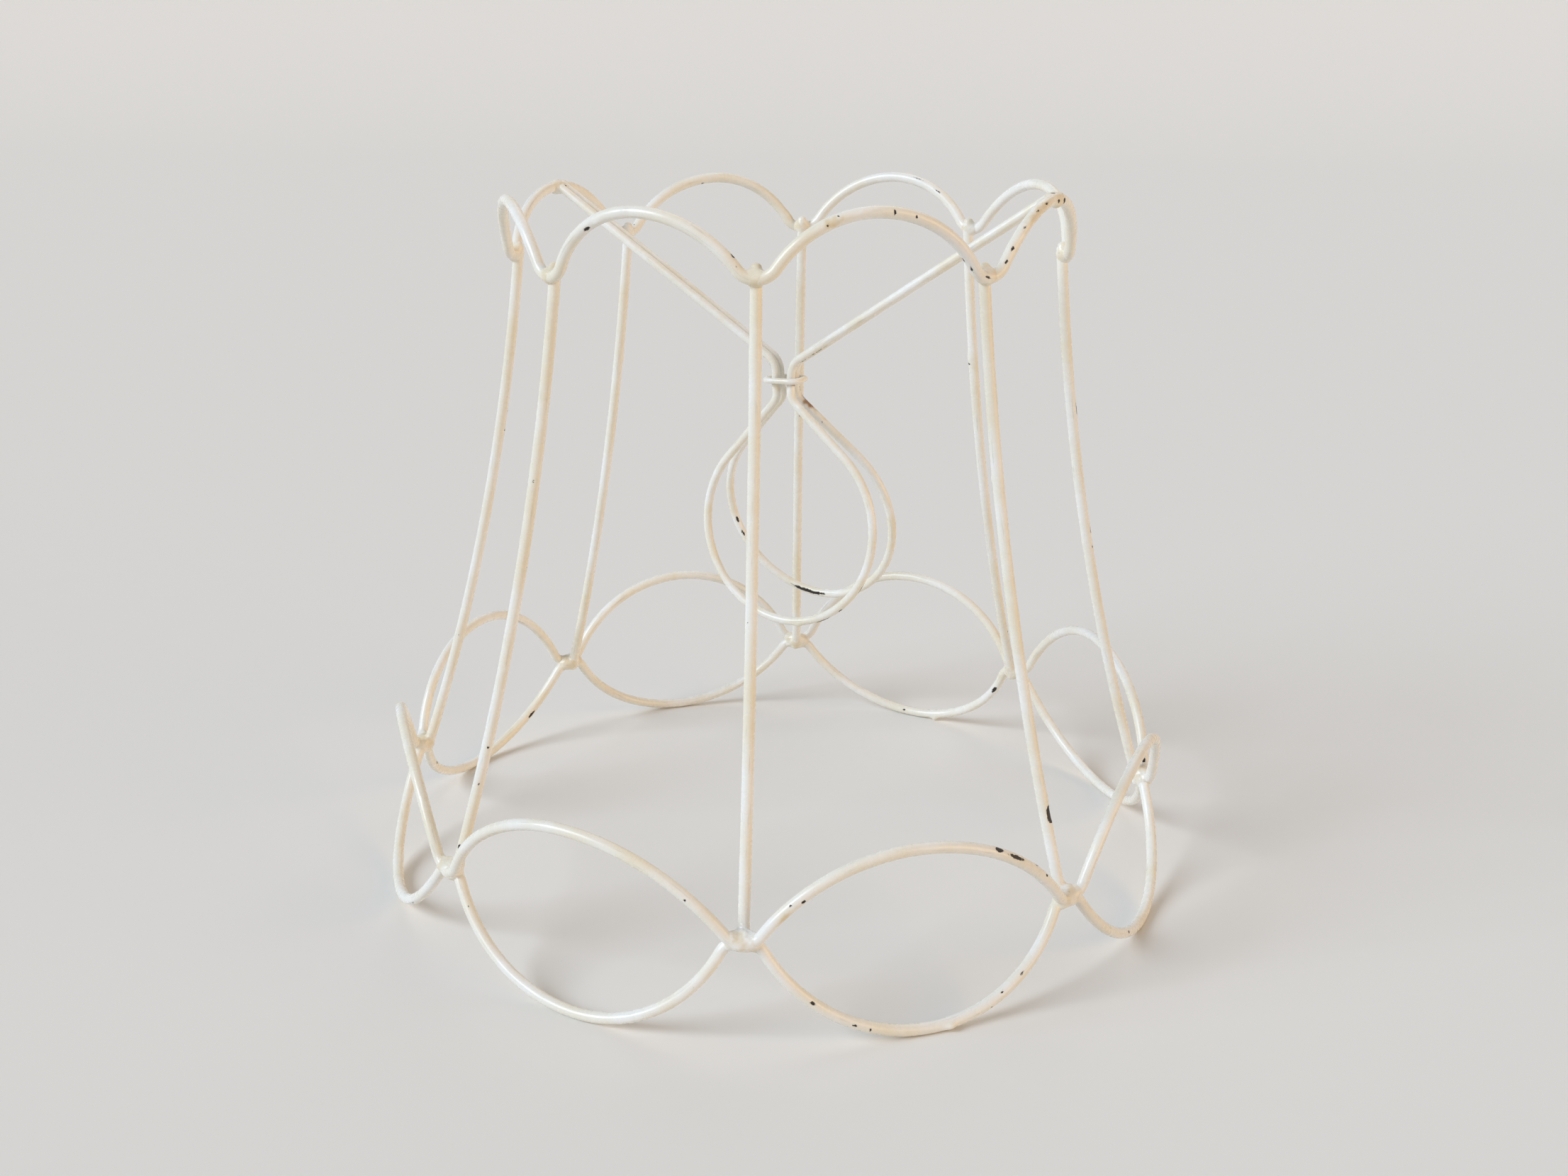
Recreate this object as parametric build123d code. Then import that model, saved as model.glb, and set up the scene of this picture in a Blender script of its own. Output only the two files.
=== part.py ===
from build123d import *
import os
from math import asin, atan2, cos, degrees, hypot, radians, sin

os.makedirs("parts", exist_ok=True)

# A welded wire lampshade frame, standing on its base, in millimetres and degrees.
# Z is up and the origin is on the floor, under the middle of the base.
# Radii and heights are to the middle of a wire unless a comment says otherwise.

# Wire, with its paint
FRAME_WIRE = 3.1        # rings and struts
CLIP_WIRE = 2.5         # the two wires of the bulb clip
TIE_WIRE = 1.8          # the small loop round the clip's neck
WELD_SPACING = 1.6      # between the middles of two wires pressed together in a weld
SEAT = 0.05             # paint film between wires that only lie against each other

# Layout: joints and scallops count anticlockwise from the front strut
STRUTS = 8
FRONT_STRUT = -94.0     # direction of the front strut from the centre
BEND_RADIUS = 6.0       # of the tight bends between scallops

# Base: an upper ring with its scallops up and a lower ring with its scallops down
BASE_RADIUS = 111.0     # lower ring at the joints, and upper ring at its crests
BASE_JOINT_HEIGHT = 26.5
UPPER_CREST_HEIGHT = 52.0
LOWER_TROUGH_OUT = 3.0  # from the joints' radius to the troughs'

# Top ring
TOP_RADIUS = 77.5       # at the joints
TOP_JOINT_HEIGHT = 181.0
TOP_CREST_OUT = -0.5
TOP_CREST_HEIGHT = 197.0
TOP_SHIFT = 0.8         # the top ring sits a little off the middle of the base, towards +X
TOP_TILT_X = 1.2        # degrees that the top ring climbs towards +X
TOP_TILT_Y = -1.3       # and towards +Y
TOP_TWIST = -0.6        # turn of the top ring against the base

# Struts
STRUT_BOW = 4.5         # how far the middle of a strut bends inwards
STRUT_STUB = 2.8        # strut standing above the top ring's bend
STRUT_FOOT = 1.5        # strut below the middle of the base joint

# Bulb clip: two wires side by side, each with two arms and a hanging hoop
CLIP_SCALLOP = 1        # top scallop that holds the right-hand arms
NECK_HEIGHT = 145.0     # middle of the loop that ties the neck
NECK_OFFSET = 0.2       # of the neck from the middle, towards the right-hand arms
LEG_SPACING = 4.8       # between the left and right legs at the neck
LEG_ABOVE = 1.5         # straight leg above and below the middle of the tie
LEG_BELOW = 0.7
ARM_BEND = 6.0          # bend radius from leg to arm
ARM_INSET = 1.0         # arm's end from the middle of the crest, inwards and up
ARM_RISE = 0.5
HOOP_START = 3.6        # where a hoop begins to open, below the tie
HOOP_BEND = 4.5         # bend radius from leg to hoop
HOOP_RADIUS = 27.9
HOOP_DROP = 42.0        # middle of the hoop's round part below the tie
HOOP_TURN = -4.0        # turn of both hoops against the arms
FRONT_LEAN = 5.5        # lean of each hoop away from the other
BACK_LEAN = 12.9
FRONT_SWING = 6.3       # sideways hang of each hoop
BACK_SWING = 3.2
TIE_PLAY = 0.15         # clearance round the four wires inside the tie
TIE_SLACK = 1.0         # more length of the tie than the legs need
TIE_TILT = 3.0

# How far the hand-bent wires stray from an even frame, in steps: round the frame, up, and out
STRAY_STEP = 1.0
TOP_JOINT_ROUND = (-1, -1, -1, 3, 1, 0, -1, 0)
TOP_JOINT_UP = (1, -1, -1, 1, 0, 0, -1, -1)
TOP_CREST_ROUND = (-1, 0, 0, 0, -2, -1, 1, -2)
BASE_JOINT_ROUND = (0, 4, 2, 2, 1, 1, -3, -4)
BASE_JOINT_UP = (2, -1, -1, 2, -1, 0, 0, -1)
UPPER_CREST_ROUND = (-2, 2, 5, 2, -1, -1, -2, -4)
UPPER_CREST_UP = (-1, 0, 1, 2, 0, 1, 0, -1)
LOWER_TROUGH_ROUND = (2, -1, -2, -2, 0, 0, 1, 2)
LOWER_TROUGH_STRAY_OUT = (-1, 1, 1, -1, -1, 1, 1, -1)

UP = Vector(0, 0, 1)


def around(radius, direction, height):
    """Point at a radius and direction from the frame's axis."""
    return Vector(radius * cos(radians(direction)), radius * sin(radians(direction)), height)


def stray(strays, place):
    """How far the wire strays at one joint or scallop."""
    return strays[place % len(strays)] * STRAY_STEP


def joint_directions(radius, strays):
    """Direction of each joint, moved along the ring by its stray."""
    even = [FRONT_STRUT + place * 360 / STRUTS for place in range(STRUTS)]
    return [direction + degrees(stray(strays, place) / radius)
            for place, direction in enumerate(even)]


def scallop_directions(joints, radius, strays):
    """Direction of each scallop's crown, between its two joints, moved by its stray."""
    after = joints[1:] + [joints[0] + 360]
    return [(first + second) / 2 + degrees(stray(strays, place) / radius)
            for place, (first, second) in enumerate(zip(joints, after))]


def seat_top(point):
    """Twist, shift and tilt a point of an even top ring to where the ring really sits."""
    turned = point.rotate(Axis.Z, TOP_TWIST)
    climb = turned.X * sin(radians(TOP_TILT_X)) + turned.Y * sin(radians(TOP_TILT_Y))
    return turned + Vector(TOP_SHIFT, 0, climb)


def meeting(start, start_way, end, end_way, reach):
    """Where two tangent arcs from start to end meet, and the way there.

    reach is how far the first arc's tangents run before they cross.
    """
    chord = end - start
    spare = chord.dot(chord) - 2 * reach * chord.dot(start_way)
    far_reach = spare / (2 * (chord.dot(end_way) + reach * (1 - start_way.dot(end_way))))
    near_corner = start + start_way * reach
    between = end - end_way * far_reach - near_corner
    return near_corner + between * (reach / (reach + far_reach)), between.normalized()


def ring_arcs(joints, crowns, level_crowns=False):
    """Arcs of a scalloped ring's axis: tight ones at the joints, wide ones at the crowns."""
    points = [point for pair in zip(joints, crowns) for point in pair]
    count = len(points)
    ways = [(points[(i + 1) % count] - points[i - 1]).normalized() for i in range(count)]
    if level_crowns:
        ways[1::2] = [Vector(way.X, way.Y, 0).normalized() for way in ways[1::2]]

    def bend(joint, joint_way, crown, crown_way):
        run = hypot(crown.X - joint.X, crown.Y - joint.Y)
        reach = BEND_RADIUS * abs(crown.Z - joint.Z) / run
        return meeting(joint, joint_way, crown, crown_way, reach)

    arcs = []
    for i in range(0, count, 2):
        joint, crown, following = points[i], points[i + 1], points[(i + 2) % count]
        joint_way, crown_way, following_way = ways[i], ways[i + 1], ways[(i + 2) % count]
        middle, way = bend(joint, joint_way, crown, crown_way)
        arcs.append(TangentArc(joint, middle, tangent=joint_way))
        arcs.append(TangentArc(middle, crown, tangent=way))
        middle, way = bend(following, -following_way, crown, -crown_way)
        arcs.append(TangentArc(crown, middle, tangent=crown_way))
        arcs.append(TangentArc(middle, following, tangent=-way))
    return arcs


def round_wire(axis, diameter):
    """Solid wire of a round section along an axis."""
    section = Plane(origin=axis @ 0, z_dir=axis % 0) * Circle(diameter / 2)
    return sweep(section, path=axis)


def round_ring(arcs, diameter):
    """Closed ring of round wire, made of two half rings that are joined end to end."""
    half = len(arcs) // 2
    return round_wire(Wire(arcs[:half]), diameter) + round_wire(Wire(arcs[half:]), diameter)


def pressed_against(wire, others):
    """A wire with the hollows that its welds press into it, without loose slivers."""
    for other in others:
        wire = wire - other
    return wire.solids().sort_by(SortBy.VOLUME)[-1]


def strut_axis(top, foot):
    """Axis of a strut through its two joints, bowed inwards, with a straight stub at each end."""
    middle = (top + foot) / 2
    inwards = Vector(-middle.X, -middle.Y, 0).normalized()
    bow = ThreePointArc(top, middle + inwards * STRUT_BOW, foot)
    stub = Line(top - (bow % 0) * STRUT_STUB, top)
    toe = Line(foot, foot + (bow % 1) * STRUT_FOOT)
    return Wire([stub, bow, toe])


# Directions of the joints and crowns
top_joint_ways = joint_directions(TOP_RADIUS, TOP_JOINT_ROUND)
top_crest_ways = scallop_directions(top_joint_ways, TOP_RADIUS, TOP_CREST_ROUND)
base_joint_ways = joint_directions(BASE_RADIUS, BASE_JOINT_ROUND)
upper_crest_ways = scallop_directions(base_joint_ways, BASE_RADIUS, UPPER_CREST_ROUND)
lower_trough_ways = scallop_directions(base_joint_ways, BASE_RADIUS, LOWER_TROUGH_ROUND)

top_heights = [TOP_JOINT_HEIGHT + stray(TOP_JOINT_UP, place) for place in range(STRUTS)]
base_heights = [BASE_JOINT_HEIGHT + stray(BASE_JOINT_UP, place) for place in range(STRUTS)]


def top_ring_points(radius):
    """Top ring's joints, or the struts' tops where the radius is smaller."""
    return [seat_top(around(radius, way, height)) for way, height in zip(top_joint_ways, top_heights)]


def base_joint_points(radius):
    """A base ring's joints, or the struts' feet where the radius is smaller."""
    return [around(radius, way, height) for way, height in zip(base_joint_ways, base_heights)]


# Rings
top_crest_radius = TOP_RADIUS + TOP_CREST_OUT
lower_trough_radius = BASE_RADIUS + LOWER_TROUGH_OUT
top_crests = [seat_top(around(top_crest_radius, way, TOP_CREST_HEIGHT)) for way in top_crest_ways]
upper_crests = [around(BASE_RADIUS, way, UPPER_CREST_HEIGHT + stray(UPPER_CREST_UP, place))
                for place, way in enumerate(upper_crest_ways)]
lower_troughs = [around(lower_trough_radius + stray(LOWER_TROUGH_STRAY_OUT, place), way, FRAME_WIRE / 2)
                 for place, way in enumerate(lower_trough_ways)]

top_ring = round_ring(ring_arcs(top_ring_points(TOP_RADIUS), top_crests), FRAME_WIRE)
upper_joints = base_joint_points(BASE_RADIUS + WELD_SPACING)
base_upper_ring = round_ring(ring_arcs(upper_joints, upper_crests), FRAME_WIRE)
lower_arcs = ring_arcs(base_joint_points(BASE_RADIUS), lower_troughs, level_crowns=True)
base_lower_ring = pressed_against(round_ring(lower_arcs, FRAME_WIRE), [base_upper_ring])

# Struts, inside the rings
strut_tops = top_ring_points(TOP_RADIUS - WELD_SPACING)
strut_feet = base_joint_points(BASE_RADIUS - WELD_SPACING)
struts = {}
for number, (top, foot) in enumerate(zip(strut_tops, strut_feet), start=1):
    plain = round_wire(strut_axis(top, foot), FRAME_WIRE)
    struts[f"strut_{number}"] = pressed_against(plain, [top_ring, base_upper_ring, base_lower_ring])

# Bulb clip: its neck hangs in the line between the two crests that hold the arms
right_crest = top_crests[CLIP_SCALLOP % STRUTS]
left_crest = top_crests[(CLIP_SCALLOP + STRUTS // 2) % STRUTS]
level_span = Vector(right_crest.X - left_crest.X, right_crest.Y - left_crest.Y, 0)
along = level_span.normalized()
across = along.cross(UP)
middle_of_crests = (right_crest + left_crest) / 2
neck = Vector(middle_of_crests.X, middle_of_crests.Y, NECK_HEIGHT) + along * NECK_OFFSET
pair_spacing = CLIP_WIRE + SEAT


def arm_edges(neck_point, end, crest):
    """Arm from its end at a crest down to the straight leg; end is 1 on the right, -1 on the left."""
    outwards = along * end
    aim = crest - outwards * ARM_INSET + UP * ARM_RISE
    leg_top = neck_point + outwards * (LEG_SPACING / 2) + UP * LEG_ABOVE
    centre = leg_top + outwards * ARM_BEND
    reach = (aim - centre).dot(outwards)
    climb = (aim - centre).dot(UP)
    slope = atan2(climb, reach) - asin(ARM_BEND / hypot(reach, climb))
    bend_end = centre + (UP * cos(slope) - outwards * sin(slope)) * ARM_BEND
    arm_way = outwards * cos(slope) + UP * sin(slope)
    length = (aim - bend_end).dot(arm_way)
    return [Line(bend_end + arm_way * length, bend_end), TangentArc(bend_end, leg_top, tangent=-arm_way)]


def hoop_frame(side, lean, swing):
    """Sideways and downwards directions of a hoop that leans, turns and swings at the neck."""
    sideways = along.rotate(Axis.Z, HOOP_TURN)
    outwards = across.rotate(Axis.Z, HOOP_TURN) * side
    down = outwards * sin(radians(lean)) - UP * cos(radians(lean))
    turn = radians(swing)
    return sideways * cos(turn) - down * sin(turn), sideways * sin(turn) + down * cos(turn)


def clip_axis(side, lean, swing):
    """Axis of one clip wire: arm, leg, hoop, leg and arm; side is 1 in front, -1 behind."""
    neck_point = neck + across * (side * pair_spacing / 2)
    sideways, down = hoop_frame(side, lean, swing)
    half_leg = LEG_SPACING / 2
    bend_middle = half_leg + HOOP_BEND
    drop = HOOP_DROP - HOOP_START
    flare = asin((HOOP_BEND + HOOP_RADIUS) / hypot(bend_middle, drop)) - atan2(bend_middle, drop)

    edges = []
    rims = []
    for end, crest in ((-1, left_crest), (1, right_crest)):
        edges += arm_edges(neck_point, end, crest)
        leg_top = neck_point + along * (end * half_leg) + UP * LEG_ABOVE
        leg_foot = leg_top - UP * (LEG_ABOVE + LEG_BELOW)
        hoop_top = neck_point + sideways * (end * half_leg) + down * HOOP_START
        edges.append(Line(leg_top, leg_foot))
        middle, way = meeting(leg_foot, -UP, hoop_top, down, (hoop_top - leg_foot).length / 4)
        edges.append(TangentArc(leg_foot, middle, tangent=-UP))
        edges.append(TangentArc(middle, hoop_top, tangent=way))
        bend_out = HOOP_BEND * (1 - cos(flare))
        flank_top = hoop_top + sideways * (end * bend_out) + down * (HOOP_BEND * sin(flare))
        rim = (neck_point + sideways * (end * HOOP_RADIUS * cos(flare))
               + down * (HOOP_DROP - HOOP_RADIUS * sin(flare)))
        edges.append(TangentArc(hoop_top, flank_top, tangent=down))
        edges.append(Line(flank_top, rim))
        rims.append(rim)
    bottom = neck_point + down * (HOOP_DROP + HOOP_RADIUS)
    edges.append(ThreePointArc(rims[0], bottom, rims[1]))
    return Wire(edges)


clip_wire_front = pressed_against(round_wire(clip_axis(1, FRONT_LEAN, FRONT_SWING), CLIP_WIRE), [top_ring])
clip_wire_back = pressed_against(round_wire(clip_axis(-1, BACK_LEAN, BACK_SWING), CLIP_WIRE), [top_ring])

# Tie: a closed loop bent snugly round the four legs
tie_corner = (CLIP_WIRE + TIE_WIRE) / 2 + TIE_PLAY
tilt_axis = Axis((0, 0, 0), across)
tie_plane = Plane(origin=neck, x_dir=along.rotate(tilt_axis, TIE_TILT), z_dir=UP.rotate(tilt_axis, TIE_TILT))
tie_length = LEG_SPACING + TIE_SLACK + 2 * tie_corner
tie_width = pair_spacing + 2 * tie_corner
tie_outline = tie_plane * RectangleRounded(tie_length, tie_width, tie_corner)
clip_tie = round_wire(tie_outline.face().outer_wire(), TIE_WIRE)

pieces = {
    "top_ring": top_ring,
    "base_upper_ring": base_upper_ring,
    "base_lower_ring": base_lower_ring,
    **struts,
    "clip_wire_front": clip_wire_front,
    "clip_wire_back": clip_wire_back,
    "clip_tie": clip_tie,
}
for name, piece in pieces.items():
    export_step(piece, f"parts/{name}.step")
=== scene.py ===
"""The looks of a welded wire lampshade frame: brushed enamel over steel wire, old and chipped.

Sizes are in millimetres and degrees until a mesh is made; everything in Blender is in metres.
"""

import itertools
import logging
from dataclasses import dataclass, field
from enum import Enum
from math import asin, atan2, ceil, cos, degrees, hypot, pi, radians, sin

import bpy
import numpy as np
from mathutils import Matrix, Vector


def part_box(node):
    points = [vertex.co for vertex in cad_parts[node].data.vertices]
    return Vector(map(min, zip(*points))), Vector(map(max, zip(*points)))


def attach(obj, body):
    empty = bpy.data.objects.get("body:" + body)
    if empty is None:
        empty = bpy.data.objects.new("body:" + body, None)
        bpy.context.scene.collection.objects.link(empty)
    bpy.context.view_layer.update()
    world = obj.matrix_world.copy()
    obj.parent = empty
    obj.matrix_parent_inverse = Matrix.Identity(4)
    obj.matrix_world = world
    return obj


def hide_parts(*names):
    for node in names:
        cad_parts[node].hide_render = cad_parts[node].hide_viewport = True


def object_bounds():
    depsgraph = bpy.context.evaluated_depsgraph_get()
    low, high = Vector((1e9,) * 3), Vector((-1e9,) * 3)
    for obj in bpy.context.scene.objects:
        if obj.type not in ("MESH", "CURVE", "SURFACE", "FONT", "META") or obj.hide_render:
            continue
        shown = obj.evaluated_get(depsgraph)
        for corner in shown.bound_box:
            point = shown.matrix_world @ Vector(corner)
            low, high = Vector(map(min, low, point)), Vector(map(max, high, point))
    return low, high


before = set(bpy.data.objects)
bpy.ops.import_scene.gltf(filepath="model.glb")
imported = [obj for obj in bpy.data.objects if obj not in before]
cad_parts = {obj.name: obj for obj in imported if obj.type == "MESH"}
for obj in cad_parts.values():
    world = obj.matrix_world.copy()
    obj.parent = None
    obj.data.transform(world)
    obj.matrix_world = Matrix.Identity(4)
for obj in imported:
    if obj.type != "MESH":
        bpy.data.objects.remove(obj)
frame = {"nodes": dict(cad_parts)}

import openvdb
from mathutils import Matrix

logging.basicConfig(level=logging.INFO, format="%(message)s")
log = logging.getLogger("lampshade_frame")

MM = 0.001
UP = np.array([0.0, 0.0, 1.0])
CAD_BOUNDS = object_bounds()
CAD_BOX = np.array(CAD_BOUNDS) / MM


# Small mathematics

def unit(vector: np.ndarray) -> np.ndarray:
    """The vector, or each row of vectors, at a length of one."""
    return vector / np.linalg.norm(vector, axis=-1, keepdims=True)


def around(radius: float, direction: float, height: float) -> np.ndarray:
    """The point at a radius, a direction in degrees and a height from the frame's axis."""
    return np.array([radius * cos(radians(direction)), radius * sin(radians(direction)), height])


def turned(vector: np.ndarray, axis: np.ndarray, angle: float) -> np.ndarray:
    """The vector turned about an axis through the origin, by an angle in degrees."""
    swing = radians(angle)
    across = np.cross(axis, vector)
    return vector * cos(swing) + across * sin(swing) + axis * (axis @ vector) * (1 - cos(swing))


def smooth_step(value: np.ndarray) -> np.ndarray:
    """A soft step from 0 to 1 as value goes from 0 to 1."""
    held = np.clip(value, 0, 1)
    return held * held * (3 - 2 * held)


def smooth_union(first: np.ndarray, second: np.ndarray, blend: float) -> np.ndarray:
    """Distance to two shapes run together with a fillet about blend millimetres wide."""
    overlap = np.maximum(blend - np.abs(first - second), 0) / blend
    return np.minimum(first, second) - overlap * overlap * blend / 4


def lumps(places: np.ndarray, size: float, seed: int) -> np.ndarray:
    """Smooth seeded noise at each place.

    Args:
        places: points in millimetres, one a row.
        size: width of one lump in millimetres.
        seed: picks another pattern.

    Returns:
        A value from -1 to 1 for each point.
    """
    scaled = places / size
    cell = np.floor(scaled).astype(np.int64)
    part = smooth_step(scaled - cell)
    total = np.zeros(len(places))
    for corner in itertools.product((0, 1), repeat=3):
        spot = cell + np.array(corner)
        mixed = spot[:, 0] * 73856093 ^ spot[:, 1] * 19349663 ^ spot[:, 2] * 83492791 ^ (seed * 40503)
        mixed = (mixed ^ (mixed >> 13)) * 1274126177 & 0x7FFFFFFF
        mixed = (mixed ^ (mixed >> 15)) * 668265263 & 0x7FFFFFFF
        near = np.where(np.array(corner), part, 1 - part).prod(axis=1)
        total += near * (mixed / 0x3FFFFFFF - 1)
    return total


# Axes of bent wires

@dataclass(frozen=True)
class Span:
    """One straight run or round arc of a wire's axis: from start, along way, to end."""

    start: np.ndarray
    way: np.ndarray
    end: np.ndarray

    def points(self, spacing: float = 0.1) -> np.ndarray:
        """Points along the span, about spacing millimetres apart, without its end."""
        chord = self.end - self.start
        forward = chord @ self.way
        side = chord - forward * self.way
        offset = np.linalg.norm(side)
        if offset < 1e-6:
            count = max(int(ceil(forward / spacing)), 1)
            return self.start + self.way * np.linspace(0, forward, count, endpoint=False)[:, None]
        radius = chord @ chord / (2 * offset)
        angle = 2 * atan2(offset, forward)
        count = max(int(ceil(radius * angle / spacing)), 2)
        turn = np.linspace(0, angle, count, endpoint=False)[:, None]
        return self.start + side / offset * radius * (1 - np.cos(turn)) + self.way * radius * np.sin(turn)


def chain(spans: list[Span]) -> np.ndarray:
    """Points along spans that follow each other, with the last end."""
    return np.vstack([span.points() for span in spans] + [spans[-1].end[None]])


def meeting(start: np.ndarray, start_way: np.ndarray, end: np.ndarray, end_way: np.ndarray,
            reach: float) -> tuple[np.ndarray, np.ndarray]:
    """Where two tangent arcs from start to end meet, and the way there.

    Args:
        start, start_way: the first arc's start and its way there.
        end, end_way: the second arc's end and its way there.
        reach: how far the first arc's tangents run before they cross.

    Returns:
        The meeting point and the common way through it.
    """
    chord = end - start
    spare = chord @ chord - 2 * reach * (chord @ start_way)
    far_reach = spare / (2 * (chord @ end_way + reach * (1 - start_way @ end_way)))
    near_corner = start + start_way * reach
    between = end - end_way * far_reach - near_corner
    return near_corner + between * (reach / (reach + far_reach)), unit(between)


def way_through(start: np.ndarray, middle: np.ndarray, end: np.ndarray) -> np.ndarray:
    """The way at the start of the round arc through three points."""
    first, second = middle - start, end - start
    normal = np.cross(first, second)
    centre = np.cross(first @ first * second - second @ second * first, normal) / (2 * normal @ normal)
    way = unit(np.cross(normal, centre))
    return way if way @ first > 0 else -way


def ring_spans(joints: list[np.ndarray], crowns: list[np.ndarray], bend_radius: float,
               level_crowns: bool = False) -> list[Span]:
    """The arcs of a scalloped ring's axis: tight ones at the joints, wide ones at the crowns.

    Args:
        joints: middle of the wire at each joint.
        crowns: middle of the wire at each crown, the first after the first joint.
        bend_radius: radius of the tight bends.
        level_crowns: whether the wire is level at its crowns.

    Returns:
        The spans of the closed axis.
    """
    points = [point for pair in zip(joints, crowns) for point in pair]
    count = len(points)
    ways = [unit(points[(i + 1) % count] - points[i - 1]) for i in range(count)]
    if level_crowns:
        ways[1::2] = [unit(way * (1, 1, 0)) for way in ways[1::2]]
    spans = []
    for i in range(0, count, 2):
        crown, crown_way = points[i + 1], ways[i + 1]
        after = (i + 2) % count
        for joint, joint_way, side in ((points[i], ways[i], 1), (points[after], ways[after], -1)):
            run = hypot(*(crown - joint)[:2])
            reach = bend_radius * abs(crown[2] - joint[2]) / run
            middle, way = meeting(joint, joint_way * side, crown, crown_way * side, reach)
            if side > 0:
                spans += [Span(joint, joint_way, middle), Span(middle, way, crown)]
            else:
                spans += [Span(crown, crown_way, middle), Span(middle, -way, joint)]
    return spans


# The photograph's camera

@dataclass(frozen=True)
class PhotoCamera:
    """The camera that took the photograph, found from the frame's own outline in it."""

    place: tuple[float, float, float] = (0.0, -468.4, 237.2)
    yaw: float = -0.18
    pitch: float = 18.29
    roll: float = -0.78
    focal_pixels: float = 2347.0
    width: int = 2212
    height: int = 1659
    sensor_mm: float = 36.0

    def axes(self) -> tuple[np.ndarray, np.ndarray, np.ndarray]:
        """The directions to the picture's right, down the picture and into it."""
        yaw, pitch, roll = radians(self.yaw), radians(self.pitch), radians(self.roll)
        right = np.array([cos(yaw), sin(yaw), 0])
        into = np.array([-sin(yaw) * cos(pitch), cos(yaw) * cos(pitch), -sin(pitch)])
        down = np.cross(into, right)
        return cos(roll) * right + sin(roll) * down, cos(roll) * down - sin(roll) * right, into

    def ray(self, pixel: tuple[float, float]) -> np.ndarray:
        """The direction in which the camera sees a pixel of the photograph."""
        right, down, into = self.axes()
        across = (pixel[0] - self.width / 2) / self.focal_pixels
        below = (pixel[1] - self.height / 2) / self.focal_pixels
        return unit(into + right * across + down * below)

    def build(self) -> bpy.types.Object:
        """The scene's camera object."""
        data = bpy.data.cameras.new("photo_camera")
        data.sensor_fit = "HORIZONTAL"
        data.sensor_width = self.sensor_mm
        data.lens = self.sensor_mm * self.focal_pixels / self.width
        data.clip_start = 0.01
        camera = bpy.data.objects.new("photo_camera", data)
        bpy.context.scene.collection.objects.link(camera)
        right, down, into = self.axes()
        matrix = Matrix.Identity(4)
        for row in range(3):
            matrix[row][0], matrix[row][1], matrix[row][2] = right[row], -down[row], -into[row]
            matrix[row][3] = self.place[row] * MM
        camera.matrix_world = matrix
        bpy.context.scene.camera = camera
        return camera


# Wear and paint marks

class MarkKind(Enum):
    """What a mark in the paint is."""

    CHIP = "chip"      # paint gone, dark steel bare
    GRIME = "grime"    # dirt or old yellow glaze in the paint
    RUST = "rust"      # brown rust that has bled into the paint
    LUMP = "lump"      # a run, drip or blob of paint


@dataclass(frozen=True)
class Mark:
    """One mark on a wire, placed where the photograph's camera sees it.

    length and width are half sizes in millimetres, along and round the wire, and
    height is how far a lump stands out.
    """

    kind: MarkKind
    wire: str
    pixel: tuple[float, float]
    length: float
    width: float
    height: float = 0.0


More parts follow.
